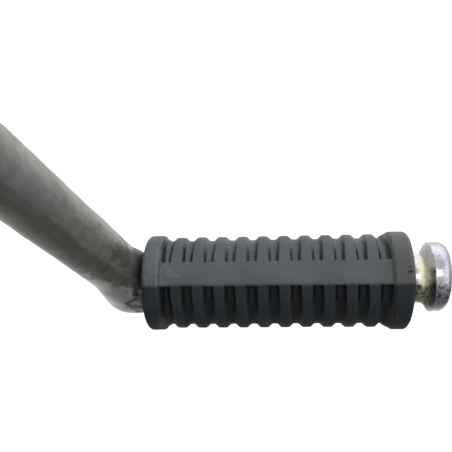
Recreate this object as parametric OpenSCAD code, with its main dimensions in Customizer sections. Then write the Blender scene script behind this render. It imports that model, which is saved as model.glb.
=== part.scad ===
// Folding kick start lever for a small motorcycle engine.
// The origin is the middle of the serrated bore that clamps on the kick shaft.
// +X runs along the kick shaft, away from the engine, and +Z is up, so the arm hangs down.
// As drawn the pedal points outboard. The arm folds it back by turning about the upright stub.

/* [Boss] */
// Diameter of the serrated bore, on its lands
shaft_bore_d = 15; // [13:0.1:17]
// Number of serrations round the bore
serration_count = 30; // [24:1:36]
// Depth of a serration
serration_depth = 0.7; // [0.4:0.1:1]
// Width of a serration at its mouth
serration_w = 0.8; // [0.5:0.1:0.9]
// Length of the boss along the kick shaft
boss_w = 30; // [29:1:34]
// Wall of the boss round the bore
boss_wall = 7.3; // [6.5:0.1:9]
// Radius along the boss's outer edges
boss_edge_r = 2.2; // [1:0.1:3]
// Chamfer at each end of the bore, beyond the serrations
bore_chamfer = 0.8; // [0.3:0.1:1.5]
// Width of the slit that lets the boss close on the shaft
slit_w = 2.5; // [1.5:0.1:3.5]
// Width of the boss across its two ears
ear_span = 27; // [25:0.5:30]
// Wall between the bore and the bolt's hole, and above that hole
ear_wall = 2.4; // [2:0.1:4]

/* [Pinch bolt] */
// Diameter of the bolt that pinches the boss
bolt_d = 8; // [6:1:10]
// Length of the bolt under its head
bolt_len = 25; // [22:1:26]
// Width of the bolt's head across its flats
bolt_head_af = 13; // [12:1:15]
// Height of the bolt's head
bolt_head_h = 5.3; // [4:0.1:6]
// Play of the bolt in the plain hole, on the radius
bolt_hole_play = 0.25; // [0.1:0.05:0.4]
// Thickness of the spring washer under the head
lock_washer_t = 2; // [1.5:0.1:2.5]
// Width of the spring washer's section
lock_washer_w = 3.2; // [2.5:0.1:3.5]
// Cut through the spring washer
lock_washer_gap = 1.2; // [0.8:0.1:2]

/* [Stub] */
// Diameter of the stub that the arm turns on
stub_d = 14; // [13:0.1:15]
// Step from the boss's ring down to its shoulder
shoulder_drop = 4; // [3:0.5:6]
// Running play round the stub, on the radius
pivot_play = 0.04; // [0.02:0.01:0.08]
// Gap between faces that turn past each other
end_play = 0.1; // [0.05:0.01:0.15]
// Length of the stub past the snap ring's groove
stub_tail = 2; // [1.5:0.5:4]
// Diameter of the plain washer under the barrel
stub_washer_d = 22; // [20:0.5:23]
// Thickness of the plain washer
stub_washer_t = 1.2; // [0.8:0.1:2]
// Thickness of the snap ring
snap_ring_t = 1; // [0.8:0.1:1.5]
// Width of the snap ring's section at its back
snap_ring_w = 3; // [2.5:0.1:3.5]
// Depth of the snap ring's groove
snap_groove_depth = 0.4; // [0.3:0.05:0.6]

/* [Detent] */
// Diameter of the detent ball
ball_d = 5; // [4.5:0.1:5.5]
// Play of the ball in its hole and pockets, on the radius
ball_play = 0.06; // [0.04:0.01:0.1]
// How far the ball drops into a pocket
detent_travel = 0.8; // [0.5:0.1:1]
// Depth of the hole that holds the ball and its spring
detent_depth = 13; // [12:0.5:14]
// Wire of the detent spring
spring_wire_d = 0.7; // [0.5:0.05:0.8]
// Turns of the detent spring
spring_turns = 7; // [5:1:8]

/* [Fold stop] */
// Angle from the kicking position to the folded position
fold_angle = 90; // [75:5:95]
// Width of the stop lug, as an angle
lug_angle = 20; // [14:1:24]
// Height of the stop lug
lug_h = 3; // [2:0.5:4]
// Thickness of the stop lug from the barrel's outside inwards
lug_t = 3.4; // [2.5:0.1:4]
// Play of the lug in its notch, all round
lug_play = 0.2; // [0.1:0.05:0.3]

/* [Arm] */
// Outboard distance from the bore's middle to the elbow
lever_reach = 72; // [68:1:80]
// Height from the pedal's axis up to the bore's middle
lever_drop = 172; // [150:1:190]
// Diameter of the barrel that turns on the stub
barrel_d = 29; // [28:0.5:31]
// Height of the barrel
barrel_len = 27; // [24:1:30]
// Chamfer on the barrel's edges
barrel_chamfer = 1; // [0.5:0.1:1.5]
// Outboard distance from the stub's axis to the knee under the barrel
arm_knee_x = 24.6; // [23:0.1:26]
// Height from the knee up to the bore's middle
arm_knee_drop = 44; // [42:0.5:47]
// Radius of the bend at the knee
arm_bend_r = 24; // [20:0.5:27]
// Diameter of the arm at the elbow
arm_elbow_d = 17.6; // [16:0.1:19]
// Diameter of the arm at the knee and into the barrel
arm_root_d = 22.4; // [21:0.1:23]
// Diameter of the relief cut in the arm round the end of the stub
relief_d = 26; // [25:0.5:28]

/* [Pedal pin] */
// Diameter of the collar at the elbow that the rubber seats on
collar_d = 20.8; // [19.5:0.1:23]
// Distance from the elbow to the collar's face
collar_len = 6; // [5:0.5:9]
// How far the round back of the elbow stands behind the elbow's centre
elbow_back = 1; // [0:0.1:2]
// Diameter of the pin inside the rubber, and of the neck
pin_d = 16; // [14:0.1:17]
// Bare neck between the rubber and the head's flare
neck_len = 3.8; // [3:0.1:9]
// Diameter of the mushroom head
head_d = 23.2; // [21:0.1:26]
// Length of the head from the start of its flare
head_len = 8.8; // [8:0.1:12]
// Slope of the head's underside from the pin's axis
head_flare = 57; // [45:1:65]
// Radius where the neck runs into the flare
neck_fillet_r = 1; // [0.5:0.1:2]
// Radius at the head's inner rim
rim_inner_r = 1; // [0.8:0.1:2]
// Radius at the head's outer rim
rim_outer_r = 3.4; // [2:0.1:4.5]
// Rise of the head's end face at its middle
head_dome = 0.5; // [0:0.1:1.5]

/* [Rubber] */
// Length of the rubber
rubber_len = 87; // [70:0.5:100]
// Diameter of the two end flanges
flange_d = 32.6; // [31.5:0.1:36]
// Width of the flange at the elbow
flange_w = 5.8; // [4:0.1:8]
// Width of the flange at the head
outer_flange_w = 7.2; // [4:0.1:8]
// Radius on a flange's outer edge
flange_edge_r = 1.7; // [1:0.1:3]
// Chamfer on a flange's inner edge
flange_chamfer = 0.3; // [0.2:0.1:0.6]
// Diameter over the ribs and the smooth bands
rib_d = 31.1; // [29.5:0.1:31.4]
// Number of ribs
rib_count = 10; // [8:1:12]
// Width of a rib across its flat top
rib_w = 2.7; // [2:0.1:4]
// Depth of the grooves between the ribs
groove_depth = 1.3; // [0.8:0.1:2]
// Run of a rib's sloping side
rib_slope = 1.1; // [0.3:0.1:1.2]
// Width of a smooth band along the rubber
band_w = 8; // [6:0.1:12]
// Turn of the bands from straight up towards -Y
band_turn = 18.5; // [0:0.5:40]
// Play of the rubber on the pin, on the radius
rubber_play = 0.05; // [0.02:0.01:0.1]

/* [Hidden] */
$fn = 64;
// Facets round the parts of a hull
hull_fn = 48;
// Length by which a cutting shape runs past what it cuts
past = 1;
// Gap of the bolt's thread in the tapped ear, on the radius
thread_play = 0.05;
// Gap between still parts that would otherwise share a face
seat_play = 0.03;

// Boss
bore_r = shaft_bore_d / 2;
ring_r = bore_r + serration_depth + boss_wall;
bolt_hole_r = bolt_d / 2 + bolt_hole_play;
bolt_z = bore_r + serration_depth + ear_wall + bolt_hole_r;
ear_corner_r = 5;
ear_z = bolt_z + bolt_hole_r + ear_wall + 2 - ear_corner_r;
// The bolt's head seats on a flat cut into the ear, and the tapped ear has one to match
spot_y = ear_span / 2 - 1;
spot_r = bolt_d / 2 + lock_washer_w + 1.2;

// Stub, barrel and what holds the barrel up, from the top down
stub_r = stub_d / 2;
barrel_r = barrel_d / 2;
shoulder_z = -(ring_r + shoulder_drop);
barrel_top = shoulder_z - end_play;
barrel_bottom = barrel_top - barrel_len;
barrel_mid = (barrel_top + barrel_bottom) / 2;
washer_top = barrel_bottom - end_play;
snap_top = washer_top - stub_washer_t - seat_play;
snap_groove_top = snap_top + seat_play;
snap_groove_h = snap_ring_t + 2 * seat_play;
snap_groove_r = stub_r - snap_groove_depth;
stub_end = snap_groove_top - snap_groove_h - stub_tail;
stub_chamfer = 0.8;

// Detent: the ball is drawn level with the barrel's top face, as it is half way through a fold
ball_r = ball_d / 2;
detent_r = (stub_r + barrel_r) / 2;
detent_hole_r = ball_r + ball_play;
detent_angle = 90;
ball_z = barrel_top + seat_play + ball_r;
detent_hole_top = shoulder_z + detent_depth;
// The spring's wire rests on the ball's crown and reaches the end of the hole
spring_r = detent_hole_r - spring_wire_d / 2 - 0.25;
spring_bottom = ball_z + seat_play + sqrt(pow(ball_r + spring_wire_d / 2, 2) - pow(spring_r, 2));
spring_top = detent_hole_top - spring_wire_d / 2 - seat_play;

// Fold stop: the lug hangs from the boss on the -Y side, and the notch lets the arm pass round it
lug_from = -90 - lug_angle / 2;
lug_play_angle = atan(lug_play / (barrel_r - lug_t));

// The web that runs the barrel's sides into the knee: what it covers of the barrel's height, how far
// its top stays inside the barrel's side, and how much thinner than the arm it ends at the knee
web_share = 2 / 3;
web_inset = 0.3;
web_slim = 2;
web_low = barrel_bottom + 2 * barrel_chamfer;

// Arm: it leans outboard by one angle below the knee and by a larger one above it
arm_lean = atan((lever_reach - arm_knee_x) / (lever_drop - arm_knee_drop));
root_lean = atan(arm_knee_x / (arm_knee_drop + barrel_mid));
arm_bend = root_lean - arm_lean;
bend_tangent = arm_bend_r * tan(arm_bend / 2);
arm_len = (lever_drop - arm_knee_drop) / cos(arm_lean) - bend_tangent;
root_len = arm_knee_x / sin(root_lean) - bend_tangent;
// The bend is thicker than shank and root by this much on the radius, and both reach this far into it
bend_swell = 0.1;
bend_reach = 1;

// Pedal pin
collar_r = collar_d / 2;
pin_r = pin_d / 2;
head_r = head_d / 2;
rubber_end = collar_len + rubber_len;
flare_start = rubber_end + neck_len;
head_end = flare_start + head_len;
edge_break = 0.5;

// Rubber: a groove's width is its mouth's, between the flat tops of two ribs. The grooves beside
// the flanges are cut a little into them, so that they take the flange's step away there
flange_r = flange_d / 2;
rib_r = rib_d / 2;
flange_cut = 0.15;
groove_from = flange_w - flange_cut;
groove_to = rubber_len - outer_flange_w + flange_cut;
groove_w = (groove_to - groove_from - rib_count * rib_w) / (rib_count + 1);
band_angle = band_w / rib_r * 180 / PI;

// Points of an arc about a centre, from one angle to another
function arc(centre, r, from, to, steps = 8) = [
    for (i = [0:steps])
        let (a = from + (to - from) * i / steps)
        [centre[0] + r * cos(a), centre[1] + r * sin(a)]
];

// A bar of round section along X with rounded ends, centred on the origin
module rounded_bar(r, length, edge) {
    rotate([0, 90, 0])
        rotate_extrude($fn = hull_fn)
            polygon(concat(
                [[0, -length / 2]],
                arc([r - edge, edge - length / 2], edge, -90, 0, 4),
                arc([r - edge, length / 2 - edge], edge, 0, 90, 4),
                [[0, length / 2]]
            ));
}

// Ring and ears as one rounded forging, narrower where the ears are
module boss_ring() {
    hull() {
        rounded_bar(ring_r, boss_w, boss_edge_r);
        for (side = [-1, 1])
            translate([0, side * (ear_span / 2 - ear_corner_r), ear_z])
                rounded_bar(ear_corner_r, boss_w - 4, boss_edge_r);
    }
}

// Neck that carries the ring's form down to the round shoulder
module boss_neck() {
    hull() {
        rounded_bar(ring_r - 0.4, boss_w - 1, boss_edge_r);
        translate([0, 0, shoulder_z])
            cylinder(r = barrel_r, h = shoulder_drop / 2, $fn = hull_fn);
    }
}

// Turned stub with its snap ring groove and chamfered end
module stub() {
    rotate_extrude()
        polygon([
            [0, shoulder_z + past],
            [stub_r, shoulder_z + past],
            [stub_r, snap_groove_top],
            [snap_groove_r, snap_groove_top],
            [snap_groove_r, snap_groove_top - snap_groove_h],
            [stub_r, snap_groove_top - snap_groove_h],
            [stub_r, stub_end + stub_chamfer],
            [stub_r - stub_chamfer, stub_end],
            [0, stub_end]
        ]);
}

// Part of a ring about Z, from one angle through another
module ring_sector(r_in, r_out, z_low, height, from, sweep) {
    rotate([0, 0, from])
        rotate_extrude(angle = sweep)
            translate([r_in, z_low])
                square([r_out - r_in, height]);
}

// Serrated bore along X, with a chamfer at each end
module serrated_bore() {
    groove_foot = bore_r - 0.4;
    groove_tip = bore_r + serration_depth;
    // The groove's sides meet at its tip and pass the land's edge at half its width
    foot_half = serration_w / 2 * (groove_tip - groove_foot) / serration_depth;
    mouth_depth = serration_depth + bore_chamfer;
    rotate([0, 90, 0]) {
        cylinder(r = bore_r, h = boss_w + 2 * past, center = true);
        for (i = [0:serration_count - 1])
            rotate([0, 0, 360 * (i + 0.5) / serration_count])
                linear_extrude(height = boss_w + 2 * past, center = true)
                    polygon([
                        [groove_foot, -foot_half],
                        [groove_tip, 0],
                        [groove_foot, foot_half]
                    ]);
        for (end = [0, 1])
            mirror([0, 0, end])
                translate([0, 0, boss_w / 2 - mouth_depth])
                    cylinder(r1 = bore_r, r2 = bore_r + mouth_depth + past, h = mouth_depth + past);
    }
}

// Holes and seats for the pinch bolt, along Y
module bolt_cuts() {
    translate([0, 0, bolt_z])
        rotate([-90, 0, 0]) {
            // Plain hole in the +Y ear
            cylinder(r = bolt_hole_r, h = ear_span);
            // Tapped hole in the -Y ear
            translate([0, 0, -ear_span])
                cylinder(r = bolt_d / 2 + thread_play, h = ear_span + past);
            translate([0, 0, spot_y])
                cylinder(r = spot_r, h = ear_span);
            translate([0, 0, -spot_y - ear_span])
                cylinder(r = spot_r, h = ear_span);
        }
}

// Clamp boss with the stub that the arm turns on
module kick_boss() {
    color([0.56, 0.57, 0.56])
        difference() {
            union() {
                boss_ring();
                boss_neck();
                stub();
                ring_sector(
                    barrel_r - lug_t, barrel_r, shoulder_z - lug_h, lug_h + past, lug_from, lug_angle
                );
            }
            serrated_bore();
            translate([-boss_w, -slit_w / 2, 0])
                cube([2 * boss_w, slit_w, 2 * ear_z]);
            bolt_cuts();
            rotate([0, 0, detent_angle])
                translate([detent_r, 0, shoulder_z - past])
                    cylinder(r = detent_hole_r, h = detent_depth + past);
        }
}

// Hexagon bolt along Y, its head on the +Y side
module pinch_bolt() {
    head_seat = spot_y + lock_washer_t;
    head_corner_r = bolt_head_af / 2 / cos(30);
    tip_chamfer = 1;
    color([0.74, 0.72, 0.63])
        translate([0, 0, bolt_z])
            rotate([-90, 0, 0]) {
                translate([0, 0, head_seat])
                    intersection() {
                        cylinder(r = head_corner_r, h = bolt_head_h, $fn = 6);
                        // The chamfer that rounds off the head's corners
                        cylinder(
                            r1 = head_corner_r + bolt_head_h * 1.7,
                            r2 = bolt_head_af / 2 - 0.2,
                            h = bolt_head_h
                        );
                    }
                rotate_extrude()
                    polygon([
                        [0, head_seat - bolt_len],
                        [bolt_d / 2 - tip_chamfer, head_seat - bolt_len],
                        [bolt_d / 2, head_seat - bolt_len + tip_chamfer],
                        [bolt_d / 2, head_seat + past],
                        [0, head_seat + past]
                    ]);
            }
}

// Split spring washer under the bolt's head
module lock_washer() {
    washer_in = bolt_d / 2 + 0.15;
    color([0.62, 0.62, 0.6])
        translate([0, spot_y, bolt_z])
            rotate([-90, 0, 0])
                difference() {
                    cylinder(r = washer_in + lock_washer_w, h = lock_washer_t);
                    translate([0, 0, -past])
                        cylinder(r = washer_in, h = lock_washer_t + 2 * past);
                    // The slanting cut
                    translate([washer_in + lock_washer_w / 2, 0, lock_washer_t / 2])
                        rotate([25, 0, 0])
                            cube([2 * lock_washer_w, lock_washer_gap, 4 * lock_washer_t], center = true);
                }
}

// Frame whose origin is the elbow's centre and whose Z runs up the arm
module along_arm() {
    translate([lever_reach, 0, -lever_drop])
        rotate([0, -arm_lean, 0])
            children();
}

// Tapered round shank from the elbow up to the knee, the knee's bend, and the root in the barrel
module arm_shank() {
    root_r = arm_root_d / 2;
    along_arm() {
        cylinder(r1 = arm_elbow_d / 2, r2 = root_r, h = arm_len + bend_reach);
        translate([-arm_bend_r, 0, arm_len]) {
            rotate([90, 0, 0])
                rotate_extrude(angle = arm_bend)
                    translate([arm_bend_r, 0])
                        circle(r = root_r + bend_swell);
            rotate([0, -arm_bend, 0])
                translate([arm_bend_r, 0, -bend_reach])
                    cylinder(r = root_r, h = root_len + bend_reach);
        }
    }
}

// Web that runs the barrel's sides into the knee
module arm_web() {
    hull() {
        translate([0, 0, web_low])
            cylinder(
                r = barrel_r - web_inset, h = barrel_bottom + web_share * barrel_len - web_low, $fn = hull_fn
            );
        translate([arm_knee_x, 0, -arm_knee_drop])
            sphere(r = arm_root_d / 2 - web_slim, $fn = hull_fn);
    }
}

// Outside of the barrel
module barrel() {
    rotate_extrude()
        polygon([
            [0, barrel_bottom],
            [barrel_r - barrel_chamfer, barrel_bottom],
            [barrel_r, barrel_bottom + barrel_chamfer],
            [barrel_r, barrel_top - barrel_chamfer],
            [barrel_r - barrel_chamfer, barrel_top],
            [0, barrel_top]
        ]);
}

// Profile of elbow, collar, pin, neck and head, as radius and distance along the pin
function flare_out() = [pin_r + neck_fillet_r * (1 - cos(head_flare)), flare_start + neck_fillet_r * sin(head_flare)];
function rim_r_in() = head_r - rim_inner_r * (1 - cos(90 - head_flare));
function rim_start() =
    flare_out()[1] + (rim_r_in() - flare_out()[0]) / tan(head_flare) + rim_inner_r * sin(90 - head_flare);

module pedal_pin() {
    translate([lever_reach, 0, -lever_drop])
        rotate([0, 90, 0])
            rotate_extrude()
                polygon(concat(
                    arc([0, -elbow_back], collar_r, -90, 0, 16),
                    [
                        [collar_r, collar_len - edge_break],
                        [collar_r - edge_break, collar_len],
                        [pin_r, collar_len]
                    ],
                    arc([pin_r + neck_fillet_r, flare_start], neck_fillet_r, 180, 180 - head_flare, 5),
                    arc([head_r - rim_inner_r, rim_start()], rim_inner_r, head_flare - 90, 0, 6),
                    arc([head_r - rim_outer_r, head_end - rim_outer_r], rim_outer_r, 0, 85, 9),
                    [[0, head_end + head_dome]]
                ));
}

// Barrel, shank, elbow, pedal pin and head, forged in one
module kick_arm() {
    color([0.45, 0.46, 0.44])
        difference() {
            union() {
                barrel();
                arm_shank();
                arm_web();
                pedal_pin();
            }
            // Running bore on the stub
            translate([0, 0, barrel_bottom - past])
                cylinder(r = stub_r + pivot_play, h = barrel_len + 2 * past);
            // Relief for the washer, the snap ring and its pliers
            translate([0, 0, stub_end - barrel_len])
                cylinder(r = relief_d / 2, h = barrel_bottom - stub_end + barrel_len);
            // Notch for the stop lug
            ring_sector(
                barrel_r - lug_t - lug_play, barrel_r + past, shoulder_z - lug_h - lug_play, lug_h + past,
                lug_from - lug_play_angle, lug_angle + fold_angle + 2 * lug_play_angle
            );
            // Detent pockets, one for each end of the fold
            for (turn = [0, fold_angle])
                rotate([0, 0, detent_angle + turn])
                    translate([detent_r, 0, ball_z - detent_travel])
                        sphere(r = ball_r + ball_play);
        }
}

// Rubber sleeve with end flanges, cut grooves and two smooth bands
module pedal_rubber() {
    groove_floor = rib_r - groove_depth;
    // Half widths of a groove at its floor and at the height where its cutter ends
    floor_half = groove_w / 2 - rib_slope;
    cut_rise = groove_depth + (flange_r - rib_r) + past;
    cut_half = floor_half + rib_slope * cut_rise / groove_depth;
    color([0.2, 0.21, 0.21])
        translate([lever_reach + collar_len, 0, -lever_drop])
            rotate([0, 90, 0])
                difference() {
                    rotate_extrude()
                        polygon(concat(
                            [[pin_r + rubber_play, 0]],
                            arc([flange_r - flange_edge_r, flange_edge_r], flange_edge_r, -90, 0, 6),
                            [
                                [flange_r, flange_w - flange_chamfer],
                                [rib_r, flange_w],
                                [rib_r, rubber_len - outer_flange_w],
                                [flange_r, rubber_len - outer_flange_w + flange_chamfer]
                            ],
                            arc(
                                [flange_r - flange_edge_r, rubber_len - flange_edge_r],
                                flange_edge_r, 0, 90, 6
                            ),
                            [[pin_r + rubber_play, rubber_len]]
                        ));
                    for (i = [0:rib_count], side = [0, 180])
                        translate([0, 0, groove_from + groove_w / 2 + i * (groove_w + rib_w)])
                            rotate([0, 0, side + 180 + band_turn + band_angle / 2])
                                rotate_extrude(angle = 180 - band_angle)
                                    polygon([
                                        [groove_floor, -floor_half],
                                        [groove_floor + cut_rise, -cut_half],
                                        [groove_floor + cut_rise, cut_half],
                                        [groove_floor, floor_half]
                                    ]);
                }
}

// Plain washer that the barrel rests on
module stub_washer() {
    color([0.66, 0.66, 0.64])
        translate([0, 0, washer_top - stub_washer_t])
            difference() {
                cylinder(r = stub_washer_d / 2, h = stub_washer_t);
                translate([0, 0, -past])
                    cylinder(r = stub_r + 0.1, h = stub_washer_t + 2 * past);
            }
}

// External snap ring with two eyed ends, its opening on the -Y side
module snap_ring() {
    ring_in = snap_groove_r + seat_play;
    // The ring is widest at its back and narrows to the eyes
    narrowing = snap_ring_w / 5;
    ring_out = ring_in + snap_ring_w - narrowing;
    eye_r = 1.7;
    eye_angle = 24;
    mouth = 13;
    color([0.35, 0.35, 0.36])
        translate([0, 0, snap_top - snap_ring_t])
            linear_extrude(height = snap_ring_t)
                difference() {
                    union() {
                        translate([0, narrowing])
                            circle(r = ring_out);
                        for (side = [-1, 1])
                            rotate(-90 + side * eye_angle)
                                translate([ring_in + eye_r, 0])
                                    circle(r = eye_r);
                    }
                    circle(r = ring_in);
                    for (side = [-1, 1])
                        rotate(-90 + side * eye_angle)
                            translate([ring_in + eye_r, 0])
                                circle(r = eye_r / 2, $fn = 24);
                    // The mouth between the eyes
                    polygon([
                        [0, 0],
                        3 * ring_out * [sin(-mouth), -cos(mouth)],
                        3 * ring_out * [sin(mouth), -cos(mouth)]
                    ]);
                }
}

// Ball that clicks into the barrel's pockets
module detent_ball() {
    color([0.8, 0.8, 0.8])
        rotate([0, 0, detent_angle])
            translate([detent_r, 0, ball_z])
                sphere(r = ball_r);
}

// Coil spring between the ball and the end of its hole, with a closed turn at each end
module detent_spring() {
    wire_sides = 6;
    turn_steps = 12;
    steps = spring_turns * turn_steps;
    rise = spring_top - spring_bottom;
    // Rise of a closed turn, and of each open turn between the two closed ones
    closed_rise = spring_wire_d * 1.05;
    open_rise = (rise - 2 * closed_rise) / (spring_turns - 2);
    function height(turn) =
        turn < 1 ? turn * closed_rise
        : turn > spring_turns - 1 ? rise - (spring_turns - turn) * closed_rise
        : closed_rise + (turn - 1) * open_rise;
    points = [
        for (i = [0:steps], j = [0:wire_sides - 1])
            let (
                turn = i / turn_steps,
                around = 360 * turn,
                across = 360 * j / wire_sides,
                reach = spring_r + spring_wire_d / 2 * cos(across)
            )
            [reach * cos(around), reach * sin(around), height(turn) + spring_wire_d / 2 * sin(across)]
    ];
    faces = concat(
        [[for (j = [0:wire_sides - 1]) j]],
        [[for (j = [wire_sides - 1:-1:0]) steps * wire_sides + j]],
        [
            for (i = [0:steps - 1], j = [0:wire_sides - 1])
                let (next = (j + 1) % wire_sides)
                [
                    i * wire_sides + j, (i + 1) * wire_sides + j,
                    (i + 1) * wire_sides + next, i * wire_sides + next
                ]
        ]
    );
    color([0.7, 0.7, 0.68])
        rotate([0, 0, detent_angle])
            translate([detent_r, 0, spring_bottom])
                polyhedron(points, faces);
}

kick_boss();
pinch_bolt();
lock_washer();
kick_arm();
pedal_rubber();
stub_washer();
snap_ring();
detent_ball();
detent_spring();
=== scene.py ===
"""Looks of a folding kick start lever: worn forged arm, ribbed pedal rubber, zinc plated pin head.

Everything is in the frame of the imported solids: +X outboard along the kick shaft, +Z up.
Shapes are worked out in millimetres and scaled to metres when a mesh is made.
"""
import math

import bmesh
import bpy
import numpy as np
from mathutils import Matrix, Vector

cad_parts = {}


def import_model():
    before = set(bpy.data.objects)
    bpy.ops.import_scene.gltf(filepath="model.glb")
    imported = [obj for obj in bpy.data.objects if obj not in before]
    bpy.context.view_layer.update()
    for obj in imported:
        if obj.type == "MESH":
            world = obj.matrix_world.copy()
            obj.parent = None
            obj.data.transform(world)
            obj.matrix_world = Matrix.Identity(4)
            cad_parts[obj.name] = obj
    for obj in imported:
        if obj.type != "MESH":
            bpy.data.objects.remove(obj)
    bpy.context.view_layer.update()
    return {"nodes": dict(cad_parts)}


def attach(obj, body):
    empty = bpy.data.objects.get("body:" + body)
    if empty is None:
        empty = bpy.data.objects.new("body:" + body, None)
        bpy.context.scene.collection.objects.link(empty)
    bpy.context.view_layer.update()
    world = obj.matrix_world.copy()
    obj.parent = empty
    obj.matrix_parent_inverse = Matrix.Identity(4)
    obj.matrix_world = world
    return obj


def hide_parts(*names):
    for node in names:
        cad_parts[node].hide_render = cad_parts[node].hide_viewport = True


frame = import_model()

MM = 0.001
SCENE = bpy.context.scene
FLOAT, VECTOR = "NodeSocketFloat", "NodeSocketVector"

# Sizes in mm, as in the solids
# The elbow's centre, where the pedal's axis meets the arm's, and the knee under the barrel
ELBOW = np.array([72.0, 0.0, -172.0])
KNEE_X, KNEE_Z = 24.6, -44.0
# The barrel, the radii of the stub and of the bore round it, and that of the relief round the stub's end
BARREL_TOP, BARREL_BOTTOM, BARREL_R, BARREL_CHAMFER = -19.6, -46.6, 14.5, 1.0
BARREL_MID = (BARREL_TOP + BARREL_BOTTOM) / 2
STUB_R, BORE_R, RELIEF_R = 7.0, 7.04, 13.0
# The arm's radius at the elbow, its radius from the knee into the barrel, and the radius of its bend
ELBOW_R, ROOT_R, BEND_R = 8.8, 11.2, 24.0
# The collar: its radius, and how far it reaches out from the elbow's centre and back
COLLAR_R, COLLAR_LEN, ELBOW_BACK = 10.4, 6.0, 1.0
# The pin, and places along it from the elbow
PIN_R, RUBBER_LEN, NECK_LEN, HEAD_LEN = 8.0, 87.0, 3.8, 8.8
RUBBER_END = COLLAR_LEN + RUBBER_LEN
FLARE_START = RUBBER_END + NECK_LEN
HEAD_END = FLARE_START + HEAD_LEN
# The mushroom head: radius, the flare's angle from the axis, fillet, inner and outer rim, and dome
HEAD_R, FLARE, NECK_FILLET, RIM_IN, RIM_OUT, DOME = 11.6, 57.0, 1.0, 1.0, 3.4, 0.5
RIM_START = FLARE_START + (HEAD_R - PIN_R) / math.tan(math.radians(FLARE))
# The rubber: its play on the pin, its flanges, and its ribs with the grooves between them
RUBBER_PLAY, FLANGE_R, FLANGE_W, OUTER_FLANGE_W, FLANGE_EDGE = 0.05, 16.3, 5.8, 7.2, 1.7
RIB_R, RIB_COUNT, RIB_W, FLANGE_CUT = 15.55, 10, 2.7, 0.15
GROOVE_FROM, GROOVE_TO = FLANGE_W - FLANGE_CUT, RUBBER_LEN - OUTER_FLANGE_W + FLANGE_CUT
GROOVE_W = (GROOVE_TO - GROOVE_FROM - RIB_COUNT * RIB_W) / (RIB_COUNT + 1)
GROOVE_DEPTH, PITCH = 1.3, GROOVE_W + RIB_W
# Half the angle that a smooth band takes up, how far both bands are turned from top and bottom, and
# their middles in degrees from the bottom
BAND_HALF, BAND_TURN = math.degrees(4.0 / RIB_R), 18.5
BANDS = (180.0 + BAND_TURN, BAND_TURN)
# Rows of points on the rubber's end face, on its rounded edge and in its bore
FACE_ROWS, EDGE_ROWS, BORE_ROWS = 4, 11, 3
# Way in Y and Z from the pedal's axis to the side that the boot rubs. The pin's head is off centre that way
BOOT_SIDE = (0.833, 0.553)

# Sizes of what the solids don't have
# The web between barrel and knee: heights of its upper and lower face at the stub's axis and how far
# they fall by the knee, how far its sides stay inside barrel and arm, and the radii of its edges and of
# its fillet to the arm
WEB_TOP, WEB_TOP_FALL, WEB_LOW, WEB_LOW_FALL = -28.6, 5.6, -44.6, 8.2
WEB_INSET, WEB_SLIM, WEB_ROUND, WEB_FILLET = 0.3, 2.0, 3.0, 5.0
# The fillet between shank and collar: at the collar's face, more of it further back, and still more above
FILLET_FACE, FILLET_BACK, FILLET_ABOVE = 0.4, 2.2, 3.4
# How far the arm's own skin stays inside the barrel's: from its side, its top and its bottom
CORE_SIDE, CORE_TOP, CORE_LOW = 0.35, 3.4, 0.3
# How far neck and head stand off centre, and how far the head's end face leans and is set back
NECK_SHIFT, HEAD_SHIFT, FACE_LEAN, FACE_BACK = 0.35, 0.7, 0.45, 0.15
# Unevenness, as height, size and seed of each ripple, and how far the arm is kept under its true size
FORGED_WAVES, FORGED_UNDER = ((0.08, 26.0, 3), (0.03, 7.0, 4)), 0.10
HEAD_WAVES = ((0.04, 6.0, 8), (0.02, 2.6, 9))
RUBBER_WAVES = ((0.05, 30.0, 21), (0.02, 9.0, 22))

# Lean of the arm below the knee and above it, from the vertical
LEAN = math.atan2(ELBOW[0] - KNEE_X, KNEE_Z - ELBOW[2])
ROOT_LEAN = math.atan2(KNEE_X, BARREL_MID - KNEE_Z)
BEND = ROOT_LEAN - LEAN
BEND_TANGENT = BEND_R * math.tan(BEND / 2)
ARM_LEN = (KNEE_Z - ELBOW[2]) / math.cos(LEAN) - BEND_TANGENT
ROOT_LEN = KNEE_X / math.sin(ROOT_LEAN) - BEND_TANGENT
# Ways in X and Z along the shank and the root, and square to them
SHANK_UP, SHANK_SIDE = np.array([-math.sin(LEAN), math.cos(LEAN)]), np.array([math.cos(LEAN), math.sin(LEAN)])
ROOT_UP = np.array([-math.sin(ROOT_LEAN), math.cos(ROOT_LEAN)])
ROOT_SIDE = np.array([math.cos(ROOT_LEAN), math.sin(ROOT_LEAN)])

# For the looks, in metres: the elbow's centre, and where the pin's plate starts along X, in the rubber
ELBOW_POINT = tuple(float(c) * MM for c in ELBOW)
PLATE_FROM = 0.1605
# Ways from the elbow's centre: to the side that the boot rubs, square to it up and to the front, across
# the shank's front towards its outer side, and up the shank
BOOT_WAY, OVER_WAY = (0.0,) + BOOT_SIDE, (0.0, -0.5525, 0.8335)
ACROSS_WAY, SHANK_WAY = (0.775, 0.563, 0.287), (-math.sin(LEAN), 0.0, math.cos(LEAN))


# Shape helpers
def smooth_step(x, low, high):
    """0 below low, 1 above high, and 3t^2 - 2t^3 between them."""
    t = np.clip((x - low) / (high - low), 0.0, 1.0)
    return t * t * (3 - 2 * t)


def soft_clip(x, soft):
    """x held between 0 and 1, with both corners rounded off over the width soft."""
    return 0.5 * (np.sqrt(x * x + soft * soft) - np.sqrt((x - 1) ** 2 + soft * soft) + 1)


def soft_min(a, b, width):
    """The smaller of a and b, run together over width as a fillet runs two solids together."""
    h = np.clip(0.5 + 0.5 * (b - a) / width, 0.0, 1.0)
    return b + (a - b) * h - width * h * (1 - h)


def soft_max(a, b, width):
    """The larger of a and b, rounded over width."""
    return -soft_min(-a, -b, width)


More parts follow.
